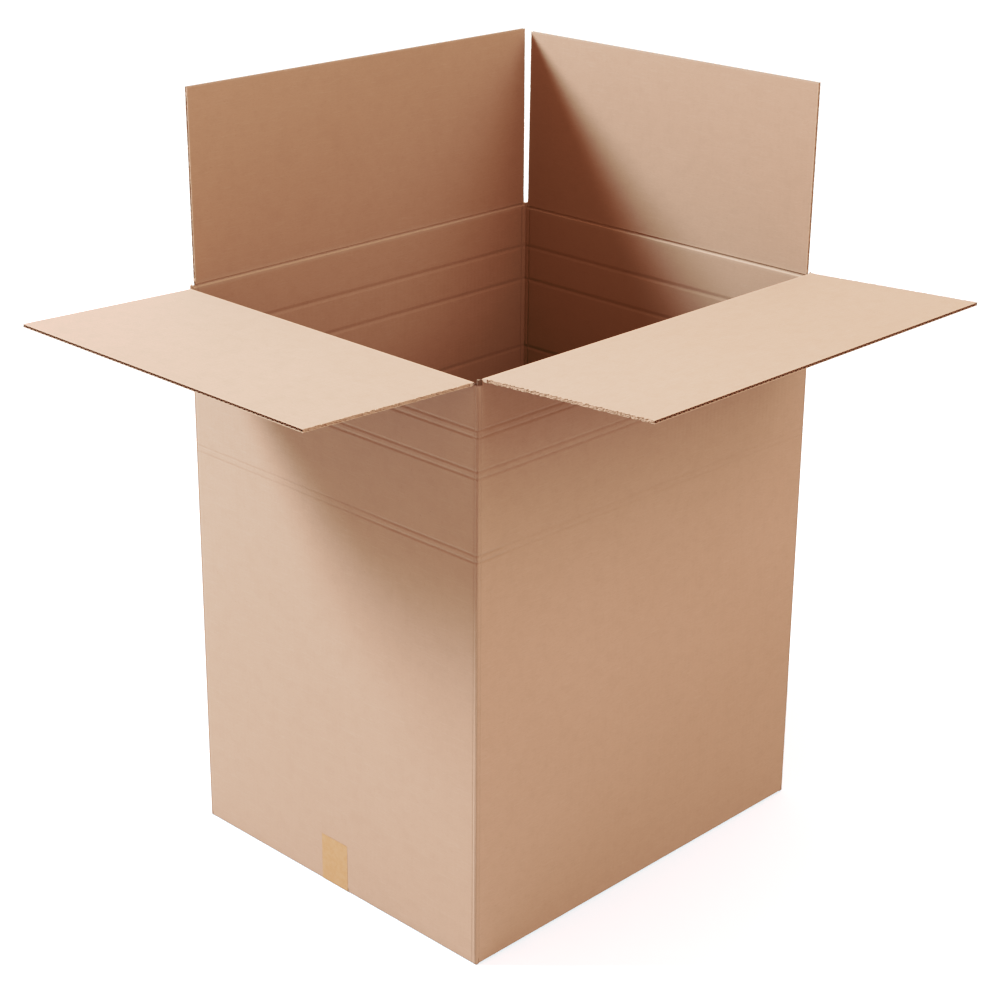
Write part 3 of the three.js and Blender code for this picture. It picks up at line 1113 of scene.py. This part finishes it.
@dataclass
class SeamTape:
    """One strip of packing tape under the bottom seam and up both short walls."""

    node: str = "bottom_seam_tape"
    body: str = "box"
    sizes: BoxSizes = field(default_factory=BoxSizes)
    width: float = 48.0 * MM
    leg: float = 68.0 * MM
    stand_off: float = 0.12 * MM
    film: float = 0.1 * MM
    bend: float = 2.6 * MM
    turns: int = 6
    rows: int = 9
    teeth: int = 24
    bite: float = 1.1 * MM
    seed: int = 11
    finish: TapeFinish = field(default_factory=TapeFinish)

    def build(self) -> bpy.types.Object:
        """Makes the strip flat, bends both legs up and gives it its film.

        Returns:
            The finished piece.
        """
        straight = self.sizes.length / 2 + self.stand_off - self.bend
        arc = self.bend * math.pi / 2
        rise = self.leg - self.bend
        reach = straight + arc + rise
        Bench.clear()
        bpy.ops.mesh.primitive_grid_add(x_subdivisions=2, y_subdivisions=2 * self.teeth, size=1.0)
        piece = Bench.place_new(
            "bottom_seam_strip", (2 * reach, self.width, 1.0), (0.0, 0.0, self.stand_off))
        chord = 2 * self.bend * math.sin(math.pi / 4 / self.turns)
        cuts = [straight + chord * k for k in range(self.turns + 1)]
        cuts += [straight + arc + rise * k / self.rows for k in range(1, self.rows)]
        for cut in cuts:
            for side in (-1.0, 1.0):
                Bench.cut_across(piece, side * cut, 0)
        self.saw_ends(piece, reach)
        Bench.fray(piece, lambda v: abs(v.x) > straight, "Z", -0.05 * MM, 14.0 * MM, self.seed)
        self.turn_up(piece, straight, chord)
        Bench.modify(piece, "SOLIDIFY", thickness=self.film, offset=1.0)
        piece.data.materials.append(self.finish.material())
        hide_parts(self.node)
        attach(piece, self.body)
        LOG.info("%s: %d faces", piece.name, len(piece.data.polygons))
        return piece

    def saw_ends(self, piece: bpy.types.Object, reach: float) -> None:
        """Gives both ends the teeth of the dispenser's blade.

        Args:
            piece: The strip.
            reach: Half of its length.
        """
        pitch = self.width / (2 * self.teeth)
        for side in (-1.0, 1.0):
            Bench.shift(
                piece,
                lambda v: v.x * side > reach - 0.01 * MM
                and round((v.y + self.width / 2) / pitch) % 2 == 1,
                (-side * self.bite, 0.0, 0.0),
            )
        Bench.clear()

    def turn_up(self, piece: bpy.types.Object, straight: float, chord: float) -> None:
        """Turns each leg up round the bottom edge in small turns, the outermost first.

        Args:
            piece: The strip.
            straight: Where the bend begins.
            chord: Length between two turns.
        """
        step = math.pi / 2 / self.turns
        for side in (-1.0, 1.0):
            for number in range(self.turns, -1, -1):
                pivot = straight + chord * number
                share = 0.5 if number in (0, self.turns) else 1.0
                Bench.pick(piece, lambda v: v.x * side > pivot + 0.01 * MM)
                bpy.ops.transform.rotate(
                    value=side * step * share,
                    orient_axis="Y",
                    center_override=(side * pivot, 0.0, self.stand_off),
                )
        Bench.clear()


@dataclass(frozen=True)
class Lamp:
    """A square soft lamp that looks at the box: its name, way, distance, size, power, colour."""

    AIM: ClassVar[Vector] = Vector((0.0, 0.0, 0.6))

    name: str
    way: tuple[float, float, float]
    distance: float
    size: float
    power: float
    colour: Colour

    def hang(self) -> None:
        """Hangs the lamp in its direction from the box."""
        way = Vector(self.way).normalized()
        data = bpy.data.lights.new(self.name, "AREA")
        data.size = self.size
        data.energy = self.power
        data.color = self.colour
        lamp = bpy.data.objects.new(self.name, data)
        lamp.location = self.AIM + way * self.distance
        lamp.rotation_euler = way.to_track_quat("Z", "Y").to_euler()
        bpy.context.scene.collection.objects.link(lamp)


@dataclass
class Studio:
    """Camera, floor and light of the picture, fitted to the photograph.

    The curves hold points of input and output. Each colour's own curve works first, the response
    after it on all three.
    """

    eye: tuple[float, float, float] = (-1.9277, -1.8664, 1.5364)
    azimuth: float = -45.821
    elevation: float = 20.235
    roll: float = 0.505
    focal: float = 2.2069
    rise: float = -0.07
    lamps: tuple[Lamp, ...] = (
        Lamp("key", (-0.52, 0.58, 0.63), 4.6, 1.2, 765.4, (0.747, 0.910, 1.000)),
        Lamp("front", (0.2, -1.0, 0.7), 3.6, 2.4, 140.3, (0.971, 0.991, 1.000)),
    )
    sky: float = 1.406
    sky_colour: Colour = (1.000, 0.803, 0.664)
    floor_glow: float = 0.424
    floor_colour: Colour = (0.702, 0.854, 1.000)
    response: tuple[tuple[float, float], ...] = (
        (0.0, 0.0),
        (0.01, 0.0039),
        (0.03, 0.0121),
        (0.08, 0.0345),
        (0.16, 0.1135),
        (0.28, 0.27),
        (0.42, 0.4353),
        (0.6, 0.6183),
        (0.8, 0.76),
        (1.0, 0.9300),
    )
    red: tuple[tuple[float, float], ...] = (
        (0.0, 0.0),
        (0.03, 0.044),
        (0.06, 0.091),
        (0.10, 0.137),
        (0.13, 0.161),
        (0.16, 0.182),
        (0.20, 0.217),
        (0.37, 0.362),
        (0.53, 0.518),
        (0.60, 0.597),
        (0.67, 0.667),
        (0.76, 0.745),
        (0.82, 0.788),
        (0.88, 0.825),
        (1.0, 1.0),
    )
    green: tuple[tuple[float, float], ...] = (
        (0.0, 0.0),
        (0.02, 0.0275),
        (0.03, 0.0390),
        (0.05, 0.0630),
        (0.066, 0.0780),
        (0.09, 0.0960),
        (0.12, 0.1210),
        (0.25, 0.25),
        (0.55, 0.55),
        (1.0, 1.0),
    )
    blue: tuple[tuple[float, float], ...] = (
        (0.0, 0.0),
        (0.016, 0.0125),
        (0.03, 0.0245),
        (0.05, 0.044),
        (0.10, 0.098),
        (0.25, 0.246),
        (0.36, 0.353),
        (0.47, 0.482),
        (0.65, 0.655),
        (1.0, 1.0),
    )

    def build(self) -> None:
        """Sets up the whole studio."""
        self.camera()
        self.floor()
        for lamp in self.lamps:
            lamp.hang()
        self.world()
        self.film()

    def camera(self) -> None:
        """Places the camera where the photograph was taken from."""
        azimuth = math.radians(self.azimuth)
        elevation = math.radians(self.elevation)
        back = Vector((
            math.sin(azimuth) * math.cos(elevation),
            -math.cos(azimuth) * math.cos(elevation),
            math.sin(elevation),
        ))
        right = Vector((0.0, 0.0, 1.0)).cross(back).normalized()
        up = back.cross(right)
        turn = math.radians(self.roll)
        tilted_right = right * math.cos(turn) + up * math.sin(turn)
        tilted_up = up * math.cos(turn) - right * math.sin(turn)
        data = bpy.data.cameras.new("view")
        data.lens = data.sensor_width * self.focal
        data.shift_y = self.rise
        data.clip_end = 50.0
        camera = bpy.data.objects.new("view", data)
        bpy.context.scene.collection.objects.link(camera)
        matrix = Matrix((tilted_right, tilted_up, back)).transposed().to_4x4()
        matrix.translation = Vector(self.eye)
        camera.matrix_world = matrix
        bpy.context.scene.camera = camera

    def floor(self) -> None:
        """Lays a plain pale floor."""
        Bench.clear()
        bpy.ops.mesh.primitive_plane_add(size=40.0, location=(0.0, 0.0, -0.1 * MM))
        floor = bpy.context.object
        floor.name = "floor"
        graph = Graph("pale_floor")
        graph.shader.inputs["Base Color"].default_value = (0.5, 0.5, 0.5, 1.0)
        graph.shader.inputs["Roughness"].default_value = 0.9
        graph.shader.inputs["Specular IOR Level"].default_value = 0.1
        x, y, _ = graph.split(graph.node("ShaderNodeTexCoord").outputs["Object"])
        away = graph.math("SQRT", x * x + y * y).ramp(3.0, 8.0)
        glow = graph.mix(away, self.floor_colour, (1.0, 1.0, 1.0))
        graph.feed(
            graph.shader.inputs["Emission Color"], graph.shade(glow, away * 0.4 + 1.0))
        graph.shader.inputs["Emission Strength"].default_value = self.floor_glow
        floor.data.materials.append(graph.material)

    def world(self) -> None:
        """Surrounds the set with one even, warm light."""
        world = bpy.data.worlds.new("studio_white")
        world.use_nodes = True
        sky = world.node_tree.nodes["Background"]
        sky.inputs[0].default_value = (*self.sky_colour, 1.0)
        sky.inputs[1].default_value = self.sky
        bpy.context.scene.world = world

    def film(self) -> None:
        """Gives the picture the photograph's deeper shadows and soft highlights."""
        settings = bpy.context.scene.view_settings
        settings.view_transform = "Standard"
        settings.use_curve_mapping = True
        channels = (self.red, self.green, self.blue, self.response)
        for channel, places in enumerate(channels):
            curve = settings.curve_mapping.curves[channel]
            while len(curve.points) < len(places):
                curve.points.new(0.5, 0.5)
            for point, place in zip(curve.points, places):
                point.location = place
        settings.curve_mapping.update()


def top_flaps(sizes: BoxSizes, board: Board) -> list[TopFlap]:
    """The four top flaps in the picture's pose.

    Args:
        sizes: The box's sizes.
        board: The board's section.

    Returns:
        Front, right, back and left flap.
    """
    side_axis = sizes.width / 2 - board.outside
    end_axis = sizes.length / 2 - board.outside
    side_half = sizes.length / 2 - sizes.slot_inset
    end_half = sizes.width / 2 - sizes.slot_inset
    side, end = sizes.side_crease, sizes.end_crease
    return [
        TopFlap("front_side_flap", "front_flap", Panel(Wall.FRONT, side_axis, side, 86.5),
                side_half, sizes.reach, 3, tear=2.0 * MM),
        TopFlap("right_end_flap", "right_flap", Panel(Wall.RIGHT, end_axis, end, 0.6),
                end_half - sizes.slot_trim, sizes.reach, 5, tear=0.5 * MM),
        TopFlap("back_side_flap", "back_flap", Panel(Wall.BACK, side_axis, side, 0.4),
                side_half - sizes.slot_trim, sizes.reach, 7, tear=0.5 * MM),
        TopFlap("left_end_flap", "left_flap", Panel(Wall.LEFT, end_axis, end, 88.0),
                end_half, sizes.reach, 9),
    ]


def main() -> None:
    """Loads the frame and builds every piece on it."""
    logging.basicConfig(level=logging.INFO, format="%(name)s: %(message)s")
    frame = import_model()
    FoldedBody().dress(frame)
    for flap in top_flaps(BoxSizes(), Board()):
        flap.build()
    SeamTape().build()
    Studio().build()


if __name__ == "__main__":
    main()
